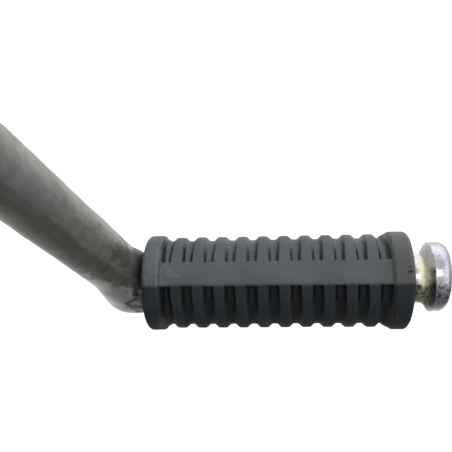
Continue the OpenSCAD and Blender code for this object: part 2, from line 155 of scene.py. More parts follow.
def ripple(points, size, seed, count=14):
    """Sum of sine waves in random directions, of wavelengths round size, between about -1 and 1."""
    rng = np.random.default_rng(seed)
    way = rng.normal(size=(count, 3))
    way *= (rng.uniform(0.6, 1.6, count) * 2 * np.pi / size / np.linalg.norm(way, axis=1))[:, None]
    shift = rng.uniform(0, 2 * np.pi, count)
    return np.sin(points @ way.T + shift).sum(axis=-1) / math.sqrt(count)


def unevenness(points, waves):
    """Sum of ripples, each given by its height, its size and its seed."""
    return sum(height * ripple(points, size, seed) for height, size, seed in waves)


def new_piece(name, points, faces, smooth_angle):
    """A mesh object from points in mm and faces. Doubles are merged, and the faces are turned outwards
    where the volume that they enclose comes out negative."""
    mesh = bpy.data.meshes.new(name)
    mesh.from_pydata((np.asarray(points) * MM).tolist(), [], faces)
    bm = bmesh.new()
    bm.from_mesh(mesh)
    bmesh.ops.remove_doubles(bm, verts=bm.verts, dist=1e-7)
    bmesh.ops.dissolve_degenerate(bm, edges=bm.edges, dist=1e-8)
    if bm.calc_volume(signed=True) < 0:
        bmesh.ops.reverse_faces(bm, faces=bm.faces)
    bm.to_mesh(mesh)
    bm.free()
    mesh.polygons.foreach_set("use_smooth", [True] * len(mesh.polygons))
    mesh.set_sharp_from_angle(angle=math.radians(smooth_angle))
    piece = bpy.data.objects.new(name, mesh)
    SCENE.collection.objects.link(piece)
    return piece


def grid_faces(rows, cols, ring):
    """Faces between neighbours of a grid whose rows close on themselves. ring joins the last row to
    the first; without it the first and last rows are closed by one flat face each."""
    index = np.arange(rows * cols).reshape(rows, cols)
    near = index if ring else index[:-1]
    far = np.roll(index, -1, axis=0) if ring else index[1:]
    quads = np.stack([near, np.roll(near, -1, 1), np.roll(far, -1, 1), far], axis=-1).reshape(-1, 4)
    faces = quads.tolist()
    if not ring:
        faces += [index[0][::-1].tolist(), index[-1].tolist()]
    return faces


def dressed_copy(node, name, body, slot, material, smooth_angle=30.0):
    """A merged copy of a CAD node's mesh with smooth shading, which stands for that node."""
    source = frame["nodes"][node].data
    points = np.zeros(len(source.vertices) * 3, np.float32)
    source.vertices.foreach_get("co", points)
    corners = np.zeros(len(source.loops), np.int32)
    source.loops.foreach_get("vertex_index", corners)
    piece = new_piece(name, points.reshape(-1, 3) / MM, corners.reshape(-1, 3).tolist(), smooth_angle)
    return place(piece, body, slot, material, node)


def place(piece, body, slot, material, *nodes):
    """Gives a piece its material, its body and the CAD nodes it stands for. Its slot is not used."""
    piece.data.materials.clear()
    piece.data.materials.append(material)
    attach(piece, body)
    if nodes:
        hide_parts(*nodes)
    return piece


# The arm
def web_distance(x, y, z):
    """Distance from the web's surface: in plan two circles and their tangents, in height between two
    sloping planes, with its edges rounded."""
    near_r, far_r = BARREL_R - WEB_INSET, ROOT_R - WEB_SLIM
    slope = (near_r - far_r) / KNEE_X
    cosine = math.sqrt(1 - slope * slope)
    tangent = np.abs(y) * cosine + x * slope - near_r
    far = np.hypot(x - KNEE_X, y) - far_r
    plan = np.where(x * cosine - np.abs(y) * slope > KNEE_X * cosine, far, tangent)
    share = np.clip(x / KNEE_X, 0.0, 1.3)
    above = z - (WEB_TOP - WEB_TOP_FALL * share)
    below = (WEB_LOW - WEB_LOW_FALL * share) - z
    return soft_max(plan, soft_max(above, below, WEB_ROUND), WEB_ROUND)


def arm_distance(p):
    """Distance from points to the forged arm's surface, negative inside: a tapered shank, the bend at
    the knee, the root, a web towards the barrel and the elbow's ball and collar, run together by
    fillets, with the relief round the stub's end taken away."""
    x, y, z = p[..., 0], p[..., 1], p[..., 2]
    ex, ez = x - ELBOW[0], z - ELBOW[2]
    along = ex * SHANK_UP[0] + ez * SHANK_UP[1]
    across = ex * SHANK_SIDE[0] + ez * SHANK_SIDE[1]
    held = np.clip(along, 0.0, ARM_LEN)
    radius = ELBOW_R + (ROOT_R - ELBOW_R) * held / ARM_LEN
    shank = np.sqrt(across ** 2 + y ** 2 + (along - held) ** 2) - radius
    # The bend: polar coordinates about its centre, the angle growing from shank to root
    bx, bz = across + BEND_R, along - ARM_LEN
    angle = np.clip(np.arctan2(bz, bx), 0.0, BEND)
    on_x, on_z = BEND_R * np.cos(angle), BEND_R * np.sin(angle)
    bend = np.sqrt((bx - on_x) ** 2 + (bz - on_z) ** 2 + y ** 2) - ROOT_R
    # The root: a straight bar from the bend's end to the barrel's axis
    rz = z - BARREL_MID
    back = np.clip(x * ROOT_UP[0] + rz * ROOT_UP[1], -ROOT_LEN, 0.0)
    root = np.sqrt((x - back * ROOT_UP[0]) ** 2 + (rz - back * ROOT_UP[1]) ** 2 + y ** 2) - ROOT_R
    bar = np.minimum(np.minimum(shank, bend), root)
    body = soft_min(bar, web_distance(x, y, z), WEB_FILLET)
    # The elbow's ball and collar
    px = np.maximum(-ELBOW_BACK - ex, 0.0)
    collar = np.sqrt(px ** 2 + y ** 2 + ez ** 2) - COLLAR_R
    behind_face = smooth_step(COLLAR_LEN + 0.6 - ex, 0.0, 5.0)
    fillet = FILLET_FACE + (FILLET_BACK + FILLET_ABOVE * smooth_step(ez, 0.0, 9.0)) * behind_face
    whole = soft_min(body, collar, fillet)
    relief = np.maximum(np.hypot(x, y) - RELIEF_R, z - (BARREL_BOTTOM + 0.3))
    return np.maximum(whole, -relief)


def arm_stations():
    """Origins and in-plane directions of the sections of the arm, from inside the barrel to the
    collar's face: planes that fan from upright round the root, round the bend, along the shank, and
    round a point above the inside of the elbow."""
    root_steps, bend_steps, shank_steps, elbow_steps = 26, 56, 120, 84
    elbow = ELBOW[[0, 2]]
    centre = elbow + SHANK_UP * ARM_LEN - SHANK_SIDE * BEND_R
    bend_end = centre + ROOT_SIDE * BEND_R
    origins, ways = [], []
    # From the upright plane inside the barrel to the plane square to the root
    start_x = 8.6
    pivot = np.array([start_x, bend_end[1] - (bend_end[0] - start_x) * ROOT_SIDE[1] / ROOT_SIDE[0]])
    for turn in np.linspace(0.0, 1.0, root_steps)[:-1]:
        tilt = turn * (math.pi / 2 - ROOT_LEAN)
        way = np.array([math.sin(tilt), math.cos(tilt)])
        # Where that plane meets the root's axis
        crossing = np.array([way, -ROOT_UP]).T
        reach = np.linalg.solve(crossing, np.array([0.0, BARREL_MID]) - pivot)[0]
        origins.append(pivot + way * reach)
        ways.append(way)
    for angle in np.linspace(BEND, 0.0, bend_steps)[:-1]:
        way = SHANK_SIDE * math.cos(angle) + SHANK_UP * math.sin(angle)
        origins.append(centre + way * BEND_R)
        ways.append(way)
    # The last plane square to the shank passes over the inside of the elbow
    hub = np.array([COLLAR_LEN - 0.6, 13.0])
    for reach in np.linspace(ARM_LEN, hub @ SHANK_UP, shank_steps)[:-1]:
        origins.append(elbow + SHANK_UP * reach)
        ways.append(SHANK_SIDE)
    for turn in np.linspace(0.0, 1.0, elbow_steps):
        angle = LEAN + turn * (math.pi / 2 - LEAN)
        way = np.array([math.cos(angle), math.sin(angle)])
        depth = hub @ SHANK_SIDE + turn * (hub[1] - hub @ SHANK_SIDE)
        origins.append(elbow + hub - way * depth)
        ways.append(way)
    return np.array(origins), np.array(ways)


def head_profile():
    """Radius and distance from the elbow of collar edge, pin, neck, flare, rims and domed end. Each
    round stretch is an arc, and the dome is a shallow cone to the axis."""
    slope = math.radians(FLARE)
    start = [(COLLAR_R, COLLAR_LEN - 0.5), (COLLAR_R - 0.5, COLLAR_LEN), (PIN_R, COLLAR_LEN)]
    bare = [(PIN_R, x) for x in np.linspace(RUBBER_END - 2, FLARE_START - 0.3, 10)]
    neck = [
        (PIN_R + NECK_FILLET * (1 - math.cos(a)), FLARE_START + NECK_FILLET * math.sin(a))
        for a in np.linspace(0, slope, 8)
    ]
    rise = HEAD_R - RIM_IN * (1 - math.sin(slope)) - neck[-1][0]
    cone = [(neck[-1][0] + rise * t, neck[-1][1] + rise * t / math.tan(slope)) for t in (0.25, 0.5, 0.75)]
    rim_x = neck[-1][1] + rise / math.tan(slope) + RIM_IN * math.cos(slope)
    inner = [
        (HEAD_R - RIM_IN * (1 - math.cos(a)), rim_x + RIM_IN * math.sin(a))
        for a in np.linspace(slope - math.pi / 2, 0, 8)
    ]
    land = [(HEAD_R, x) for x in np.linspace(rim_x, HEAD_END - RIM_OUT, 4)[1:-1]]
    rim = [
        (HEAD_R - RIM_OUT * (1 - math.cos(a)), HEAD_END - RIM_OUT * (1 - math.sin(a)))
        for a in np.linspace(0, math.radians(85), 16)
    ]
    rim_r, rim_end = rim[-1]
    dome = [(rim_r * (1 - t), rim_end + (HEAD_END + DOME - rim_end) * t) for t in (0.2, 0.4, 0.6, 0.8, 0.97)]
    return np.array(start + bare + neck + cone + inner + land + rim + dome)


def arm_tube(turn):
    """Rings of the arm from the barrel to the collar's face. Each section is a ring of rays from its
    origin, and each ray runs out to where the distance function is zero."""
    origins, ways = arm_stations()
    shape = (len(ways), len(turn))
    outward = ways[:, None, :] * np.cos(turn)[:, None]
    ray = np.stack([outward[..., 0], np.broadcast_to(np.sin(turn), shape), outward[..., 1]], axis=-1)
    origin = np.stack([origins[:, 0], np.zeros(len(origins)), origins[:, 1]], axis=-1)[:, None, :]
    reach = np.zeros(shape)
    # Each step takes a ray on by most of its distance from the surface, so it settles on it
    steps, step_share = 110, 0.9
    for _ in range(steps):
        p = origin + ray * reach[..., None]
        distance = arm_distance(p)
        # Inside the barrel's outline the arm stays under the barrel's skin
        from_stub = np.hypot(p[..., 0], p[..., 1])
        past_ends = np.maximum(p[..., 2] - (BARREL_TOP - CORE_TOP), BARREL_BOTTOM + CORE_LOW - p[..., 2])
        core = np.maximum(from_stub - (BARREL_R - CORE_SIDE), past_ends)
        distance = np.where(from_stub < BARREL_R - 0.3, np.maximum(distance, core), distance)
        reach = reach - step_share * distance
    tube = origin + ray * reach[..., None]
    # Slow hammered unevenness of the forging, none where a face has to fit
    from_stub = np.hypot(tube[..., 0], tube[..., 1])
    from_face = ELBOW[0] + COLLAR_LEN - 2 - tube[..., 0]
    rough = unevenness(tube, FORGED_WAVES) * smooth_step(from_stub, 15.0, 22.0) * smooth_step(from_face, 0, 4)
    return tube + ray * (rough - FORGED_UNDER * (rough != 0))[..., None]


def arm_pin(turn):
    """Rings of pin and head, turned from their profile. The head was forged off centre, towards the
    boot's side, its end face leans a little, and it has small dents."""
    profile = head_profile()
    r, x = profile[:, 0][:, None], profile[:, 1][:, None]
    # The rings start where the arm's rays start, at the top
    pin = np.stack([
        ELBOW[0] + x + 0 * turn, r * np.sin(turn) + 0 * x, ELBOW[2] + r * np.cos(turn),
    ], axis=-1)
    off = NECK_SHIFT * smooth_step(x, RUBBER_END - 2, RUBBER_END)
    off = off + HEAD_SHIFT * smooth_step(x, FLARE_START, RIM_START)
    pin[..., 1] += BOOT_SIDE[0] * off
    pin[..., 2] += BOOT_SIDE[1] * off
    high = (pin[..., 1] * BOOT_SIDE[0] + (pin[..., 2] - ELBOW[2]) * BOOT_SIDE[1]) / HEAD_R
    on_face = smooth_step(x, RIM_START, HEAD_END - 2) * smooth_step(r, 0, 6)
    pin[..., 0] += (FACE_LEAN * high - FACE_BACK) * on_face
    dents = np.minimum(unevenness(pin, HEAD_WAVES), 0.02) * smooth_step(x, FLARE_START - 1, FLARE_START + 2)
    radial = np.stack([0 * pin[..., 1], pin[..., 1], pin[..., 2] - ELBOW[2]], axis=-1)
    radial /= np.maximum(np.linalg.norm(radial, axis=-1, keepdims=True), 1e-6)
    return pin + radial * dents[..., None]


def forged_arm(cols=144):
    """The arm from the barrel to the pin's head: rings of rays round its bent axis, then turned rings."""
    turn = np.linspace(0, 2 * np.pi, cols, endpoint=False)
    grid = np.concatenate([arm_tube(turn), arm_pin(turn)])
    return new_piece("forged_arm", grid.reshape(-1, 3), grid_faces(len(grid), cols, False), 50.0)


def arm_barrel():
    """The barrel that turns on the stub: a turned ring whose section steps down where the notch for
    the stop lug is, with two ball pockets sunk in its top face."""
    # The lug's thickness and height, its play in the notch, the barrel's end play, and the bore's edges
    lug_t, lug_h, play, end_play, edge = 3.4, 3.0, 0.2, 0.1, 0.35
    # The notch in degrees round the stub, with about a degree of play at each end
    notch_from, notch_to = -100.0 - 1.0, 10.0 + 1.0
    notch_r, notch_z = BARREL_R - lug_t - play, BARREL_TOP - lug_h - play + end_play
    # Columns round the barrel, twice as many where the ball's pockets are
    coarse, fine = np.arange(notch_from, notch_from + 360.0, 1.5), np.arange(80.0, 190.0, 0.75)
    around = np.unique(np.concatenate([coarse, fine]))
    in_notch = around[(around > notch_from + 0.2) & (around < notch_to - 0.2)]
    past_notch = around[around > notch_to + 0.2]
    around = np.concatenate([[notch_from], in_notch, [notch_to, notch_to], past_notch, [notch_from + 360.0]])
    cut_columns = np.arange(len(around)) <= int(np.argmax(around >= notch_to))
    # The section, from the bottom out, up and back down the bore, full and with the notch cut
    low = [(BORE_R + edge, BARREL_BOTTOM), (BARREL_R - BARREL_CHAMFER, BARREL_BOTTOM),
           (BARREL_R, BARREL_BOTTOM + BARREL_CHAMFER)]
    wall = [(BARREL_R, z) for z in np.linspace(BARREL_BOTTOM + 3, notch_z - 0.5, 8)]
    corner_full = [(BARREL_R, notch_z), (BARREL_R, BARREL_TOP - BARREL_CHAMFER),
                   (BARREL_R - BARREL_CHAMFER, BARREL_TOP)]
    corner_cut = [(BARREL_R, notch_z), (BARREL_R - BARREL_CHAMFER, notch_z), (notch_r, notch_z)]
    shares = np.linspace(0, 1, 14)[1:-1]
    rim = [(r, BARREL_TOP) for r in np.linspace(BARREL_R - BARREL_CHAMFER, notch_r, 14)[1:-1]]
    notch_wall = [(notch_r, notch_z + (BARREL_TOP - notch_z) * t) for t in shares]
    face = [(r, BARREL_TOP) for r in np.linspace(notch_r, BORE_R + edge, 22)]
    bore = [(BORE_R, z) for z in np.linspace(BARREL_TOP - edge, BARREL_BOTTOM + edge, 12)]
    full = np.array(low + wall + corner_full + rim + face + bore)
    cut = np.array(low + wall + corner_cut + notch_wall + face + bore)
    section = np.where(cut_columns[:, None, None], cut[None], full[None])
    angle = np.radians(around)[:, None]
    x, y, z = section[..., 0] * np.cos(angle), section[..., 0] * np.sin(angle), section[..., 1] + 0 * angle
    # The pockets: radius of the ball with its play, way from the stub's axis, and height of its centre
    pocket_r, pocket_at, pocket_z = 2.56, (BARREL_R + STUB_R) / 2, -17.87
    for pocket in (math.radians(90), math.radians(180)):
        away = np.hypot(x - pocket_at * math.cos(pocket), y - pocket_at * math.sin(pocket))
        bowl = pocket_z - np.sqrt(np.maximum(pocket_r ** 2 - away ** 2, 0.0))
        z = np.where((away < pocket_r) & (z > BARREL_TOP - 0.01), np.minimum(z, bowl), z)
    # The last column lies on the first, so the ring closes when doubles are merged
    grid = np.stack([x, y, z], axis=-1)
    return new_piece("arm_barrel", grid.reshape(-1, 3), grid_faces(len(grid), grid.shape[1], True), 30.0)


# The pedal rubber
def flange_rows(width, worn):
    """Radius and place along the rubber of one end: the end face, the rounded edge, the flange of the
    given width and the step down to the ribs, which is a slope where worn, and otherwise has a dip."""
    inner, outer = PIN_R + RUBBER_PLAY, FLANGE_R - FLANGE_EDGE - 0.6
    face = [(inner, 0.0), (PIN_R + 1.5, 0.0), (11.0, 0.0), (outer, 0.0)]
    edge = [
        (FLANGE_R - FLANGE_EDGE * (1 - math.cos(a)), FLANGE_EDGE * (1 + math.sin(a)))
        for a in np.linspace(-math.pi / 2, 0, EDGE_ROWS)
    ]
    flat = [(FLANGE_R, width * t) for t in (0.5, 0.7)]
    if worn:
        step = [(FLANGE_R, -1.7), (FLANGE_R - 0.03, -1.25), (FLANGE_R - 0.14, -0.85), (FLANGE_R - 0.4, -0.5),
                (RIB_R + 0.1, -0.2), (RIB_R + 0.02, 0.02), (RIB_R, 0.16)]
    else:
        step = [(FLANGE_R, -0.9), (FLANGE_R - 0.03, -0.55), (FLANGE_R - 0.14, -0.32), (FLANGE_R - 0.4, -0.2),
                (RIB_R - 0.12, -0.1), (RIB_R - 0.2, 0.02), (RIB_R - 0.1, 0.16)]
    return face + edge + flat + [(r, width + s) for r, s in step]


def sleeve_rows():
    """Radius and place along the rubber of every row, before the grooves are cut: the inner end, the
    ribs with rows close together at the groove walls, the outer end, and the bore."""
    left_side, right_side = flange_rows(FLANGE_W, False), flange_rows(OUTER_FLANGE_W, True)
    wall = np.array([-0.3, -0.05, 0.15, 0.3, 0.42, 0.54, 0.66, 0.78, 0.92, 1.08, 1.25, 1.45, 1.7])
    middle = []
    for i in range(RIB_COUNT + 1):
        left = GROOVE_FROM + i * PITCH
        right = left + GROOVE_W
        middle += list(left + wall) + [(left + right) / 2] + list(right - wall[::-1]) + [right + RIB_W / 2]
    middle = [s for s in middle if left_side[-1][1] < s < RUBBER_LEN - right_side[-1][1]]
    mirror = [(r, RUBBER_LEN - s) for r, s in reversed(right_side)]
    bore = [(PIN_R + RUBBER_PLAY, RUBBER_LEN * t) for t in np.linspace(0.75, 0.25, BORE_ROWS)]
    return np.array(left_side + [(RIB_R, s) for s in middle] + mirror + bore)


def sleeve_turns():
    """Places of the columns round the rubber in degrees, close together at the bands' edges."""
    # Degrees between columns, between those near an edge, how far from it these go, and the least step
    coarse, fine, reach, least = 2.5, 0.3, 3.0, 0.12
    near = np.arange(-reach, reach + 0.01, fine)
    borders = [band + side * BAND_HALF for band in BANDS for side in (-1, 1)]
    around = np.concatenate([np.arange(0, 360, coarse)] + [border + near for border in borders]) % 360
    around = np.unique(np.round(around, 2))
    return around[np.diff(np.append(around, 360.0)) > least]


def groove_shape(along, past):
    """Share of the groove's depth at a point, and the depth in mm of the slit at the foot of its wall,
    from the place along the rubber and the distance round it past the nearest band. Both are a
    profile along the rubber times the groove's reach round it. Beside the bands the walls are steep,
    and away from them they slope."""
    # Past a band's edge: where a groove starts, over how far it deepens, and over how far its walls go
    # from steep to sloping
    start, deepen, change = 0.05, 0.35, 13.0
    reach_round = soft_clip((past - start) / deepen, 0.12)
    away = smooth_step(past, 0.0, change)
    index = np.clip(np.round((along - GROOVE_FROM - GROOVE_W / 2) / PITCH), 0, RIB_COUNT)
    from_middle = along - GROOVE_FROM - GROOVE_W / 2 - index * PITCH
    # The two walls beside the flanges run out further, the one by the head most
    by_elbow = (index == 0) & (from_middle < 0)
    by_head = (index == RIB_COUNT) & (from_middle > 0)
    by_flange = by_elbow | by_head
    inset = np.where(by_head, 0.55 * away, 0.4 * (1 - away))
    from_wall = GROOVE_W / 2 - np.abs(from_middle) - inset
    # How far a wall runs out where it is steep, and how much further where it slopes and by a flange
    steep_run, slope_run, flange_run = 0.35, 0.9, 0.8
    run = steep_run + slope_run * away + flange_run * away * by_flange
    profile = soft_clip(from_wall / run, 0.18)
    # The slit is widest by the flanges, and longest and deepest by the elbow
    by_elbow_end = smooth_step(-along, -22.0, -5.0)
    narrow, wide = 0.6 + 0.25 * by_flange, 1.0 + 0.4 * by_flange
    slit = smooth_step(from_wall, 0.0, 0.3) * (1 - smooth_step(from_wall, narrow, wide))
    fade = 1 - smooth_step(past, 4.0 + 5.0 * by_elbow_end, 9.0 + 4.5 * by_elbow_end)
    slit_depth = 1.25 * (1 - profile) + 0.55 + 0.35 * by_elbow_end
    return profile * reach_round, slit * fade * slit_depth * reach_round


def pedal_sleeve():
    """The rubber: a turned sleeve with rounded flanges, in which eleven grooves stop at two smooth
    bands, with a slit along the foot of each groove wall. Its skin is a little uneven."""
    rows, around = sleeve_rows(), sleeve_turns()
    turn = np.radians(around)[None, :]
    radius, along = rows[:, 0][:, None], rows[:, 1][:, None]
    # How far a point is past the edge of the nearest band, in mm round the rubber
    off = np.min([np.abs((around - band + 180) % 360 - 180) for band in BANDS], axis=0) - BAND_HALF
    past = (off * math.radians(1) * RIB_R)[None, :]
    # The end faces and the bore have no waves, and their rounded edges have no grooves either
    row = np.arange(len(rows))[:, None]
    outer = (row >= FACE_ROWS) & (row < len(rows) - FACE_ROWS - BORE_ROWS)
    grooved = (row >= FACE_ROWS + EDGE_ROWS) & (row < len(rows) - FACE_ROWS - EDGE_ROWS - BORE_ROWS)
    reach, slit = (np.where(grooved, share, 0.0) for share in groove_shape(along, past))
    # A groove beside a flange also takes the flange's step with it
    r = np.minimum(radius, RIB_R + (radius - RIB_R) * (1 - reach)) - GROOVE_DEPTH * reach - slit
    # The outer end face leans in on the lower front side
    low = np.maximum(-BOOT_SIDE[0] * np.sin(turn) + BOOT_SIDE[1] * np.cos(turn), 0.0)
    x = COLLAR_LEN + ELBOW[0] + along - 0.9 * low * smooth_step(along, RUBBER_LEN - 6, RUBBER_LEN)
    grid = np.stack([x, r * np.sin(turn), ELBOW[2] - r * np.cos(turn)], axis=-1)
    wave = np.where(outer, np.minimum(unevenness(grid, RUBBER_WAVES), 0.02) - 0.02, 0.0)
    grid[..., 1] += wave * np.sin(turn)
    grid[..., 2] -= wave * np.cos(turn)
    return new_piece("pedal_sleeve", grid.reshape(-1, 3), grid_faces(len(rows), len(around), True), 60.0)


# Materials
def socket(group, name, kind, out=False, value=None):
    """Adds a socket to a group, with its plain value where one is given."""
    made = group.interface.new_socket(name=name, in_out="OUTPUT" if out else "INPUT", socket_type=kind)
    if value is not None:
        made.default_value = value


class Nodes:
    """Short ways to add nodes to a material or a group and to wire them."""

    def __init__(self, tree):
        self.tree = tree

    def add(self, kind, inputs=None, **settings):
        node = self.tree.nodes.new("ShaderNode" + kind)
        for key, value in settings.items():
            setattr(node, key, value)
        for key, value in (inputs or {}).items():
            self.put(node.inputs[key], value)
        return node

    def put(self, target, value):
        """Wires a socket to the target, or sets a plain value on it."""
        if isinstance(value, bpy.types.NodeSocket):
            self.tree.links.new(value, target)
        else:
            target.default_value = value

    def noise(self, place, scale, detail, rough=0.55, distort=0.0):
        return self.add("TexNoise", {"Vector": place, "Scale": scale, "Detail": detail,
                                     "Roughness": rough, "Distortion": distort}).outputs["Fac"]

    def uneven(self, place, scale, detail, rough=0.55):
        """Noise about 0, half of it on either side."""
        return self.math("SUBTRACT", self.noise(place, scale, detail, rough), 0.5)

    def ramp(self, value, low, high, out_low=0.0, out_high=1.0):
        """A smooth change from out_low, where the value is low, to out_high, where it is high."""
        node = self.add("MapRange", {"Value": value, "From Min": low, "From Max": high,
                                     "To Min": out_low, "To Max": out_high})
        node.interpolation_type = "SMOOTHSTEP"
        return node.outputs["Result"]

    def math(self, how, a, b=0.0):
        node = self.add("Math", operation=how)
        self.put(node.inputs[0], a)
        self.put(node.inputs[1], b)
        return node.outputs[0]

    def times(self, *factors):
        """The product of all factors."""
        product = factors[0]
        for factor in factors[1:]:
            product = self.math("MULTIPLY", product, factor)
        return product

    def vector(self, how, *values):
        node = self.add("VectorMath", operation=how)
        for target, value in zip(node.inputs, values):
            self.put(target, value)
        return node.outputs

    def mix(self, share, a, b):
        node = self.add("Mix", data_type="RGBA", blend_type="MIX")
        self.put(node.inputs[0], share)
        self.put(node.inputs[6], a)
        self.put(node.inputs[7], b)
        return node.outputs[2]

    def over(self, tone, colour, share, most):
        """A tone with a colour laid over it by share, of which most is the largest."""
        return self.mix(self.times(share, most), tone, colour)


def make_group(name, inputs, outputs):
    """A node group with its sockets: the group, its nodes, what it is given and what it gives."""
    group = bpy.data.node_groups.new(name, "ShaderNodeTree")
    for key, kind, value in inputs:
        socket(group, key, kind, value=value)
    for key, kind in outputs:
        socket(group, key, kind, out=True)
    start, end = group.nodes.new("NodeGroupInput"), group.nodes.new("NodeGroupOutput")
    return group, Nodes(group), start.outputs, end.inputs


def skin_group():
    """Grain and blotches of a worked surface: slow blotches, specks, and a normal with fine grain."""
    group, n, given, out = make_group(
        "worked_skin",
        [("Place", VECTOR, None), ("Blotch Scale", FLOAT, 60.0), ("Grain Scale", FLOAT, 900.0),
         ("Pit Scale", FLOAT, 500.0), ("Pits", FLOAT, 0.3), ("Bump", FLOAT, 0.3)],
        [("Blotch", FLOAT), ("Speck", FLOAT), ("Normal", VECTOR)],
    )
    blotch = n.noise(given["Place"], given["Blotch Scale"], 5.0, 0.6, 0.3)
    grain = n.noise(given["Place"], given["Grain Scale"], 3.0, 0.7)
    pit_noise = n.noise(given["Place"], given["Pit Scale"], 2.0, 0.5, 0.6)
    edge = n.math("SUBTRACT", 0.74, n.times(given["Pits"], 0.2))
    speck = n.ramp(pit_noise, edge, n.math("ADD", edge, 0.06))
    height = n.math("SUBTRACT", n.times(grain, 0.5), speck)
    bump = n.add("Bump", {"Height": height, "Strength": given["Bump"], "Distance": 0.0003})
    n.put(out["Blotch"], n.ramp(blotch, 0.35, 0.65))
    n.put(out["Speck"], speck)
    n.put(out["Normal"], bump.outputs["Normal"])
    return group


def mark_group():
    """A ragged mark at one place on a surface: 1 inside the given radius, broken up by noise."""
    group, n, given, out = make_group(
        "ragged_mark",
        [("Place", VECTOR, None), ("At", VECTOR, None), ("Radius", FLOAT, 0.002), ("Stretch", VECTOR, None),
         ("Ragged", FLOAT, 0.5), ("Scale", FLOAT, 700.0)],
        [("Mask", FLOAT)],
    )
    away = n.vector("SUBTRACT", given["Place"], given["At"])["Vector"]
    scaled = n.vector("MULTIPLY", away, given["Stretch"])["Vector"]
    reach = n.math("DIVIDE", n.vector("LENGTH", scaled)["Value"], given["Radius"])
    rag = n.times(n.uneven(given["Place"], given["Scale"], 3.0), given["Ragged"], 3.0)
    n.put(out["Mask"], n.ramp(n.math("ADD", reach, rag), 1.0, 0.7))
    return group


SKIN, MARK = skin_group(), mark_group()


def start_material(name, roughness, metallic, specular=0.5):
    """A material with its shader and object coordinates; plain numbers sit on the shader's sockets."""
    material = bpy.data.materials.new(name)
    material.use_nodes = True
    n = Nodes(material.node_tree)
    shader = n.tree.nodes["Principled BSDF"]
    shader.inputs["Roughness"].default_value = roughness
    shader.inputs["Metallic"].default_value = metallic
    shader.inputs["Specular IOR Level"].default_value = specular
    spot = n.add("TexCoord").outputs["Object"]
    return material, n, shader, spot


def wire_shader(n, shader, colour, roughness, normal):
    """Wires to the shader what every material of the lever works out."""
    for name, value in (("Base Color", colour), ("Roughness", roughness), ("Normal", normal)):
        n.put(shader.inputs[name], value)


def skin(n, spot, **values):
    """The worked skin's outputs; each value goes to the input whose name it has."""
    node = n.add("Group", node_tree=SKIN)
    n.put(node.inputs["Place"], spot)
    for key, value in values.items():
        n.put(node.inputs[key.replace("_", " ")], value)
    return node.outputs


def mark(n, spot, at, radius, stretch=(1, 1, 1), ragged=0.5, scale=700.0):
    """A ragged mark, its place and radius in mm; a stretch over 1 makes it shorter that way."""
    node = n.add("Group", node_tree=MARK)
    n.put(node.inputs["Place"], spot)
    node.inputs["At"].default_value = [c * MM for c in at]
    node.inputs["Radius"].default_value = radius * MM
    node.inputs["Stretch"].default_value = stretch
    node.inputs["Ragged"].default_value = ragged
    node.inputs["Scale"].default_value = scale
    return node.outputs["Mask"]


def rgb(r, g, b):
    """Colour as written in sRGB 0-255, turned to linear light."""
    c = np.array([r, g, b]) / 255.0
    lin = np.where(c <= 0.04045, c / 12.92, ((c + 0.055) / 1.055) ** 2.4)
    return (float(lin[0]), float(lin[1]), float(lin[2]), 1.0)


def along_x(n, spot):
    """Place along X in metres."""
    return n.add("SeparateXYZ", {"Vector": spot}).outputs["X"]


def plane_height(n, spot, way):
    """Signed distance in metres of a point from the plane through the elbow's centre square to a way."""
    away = n.vector("SUBTRACT", spot, ELBOW_POINT)["Vector"]
    return n.vector("DOT_PRODUCT", away, way)["Value"]


def from_axis(n, spot):
    """Distance in metres from the pedal's axis."""
    parts = n.add("SeparateXYZ", {"Vector": spot}).outputs
    across, high = parts["Y"], n.math("SUBTRACT", parts["Z"], ELBOW_POINT[2])
    return n.math("SQRT", n.math("ADD", n.times(across, across), n.times(high, high)))


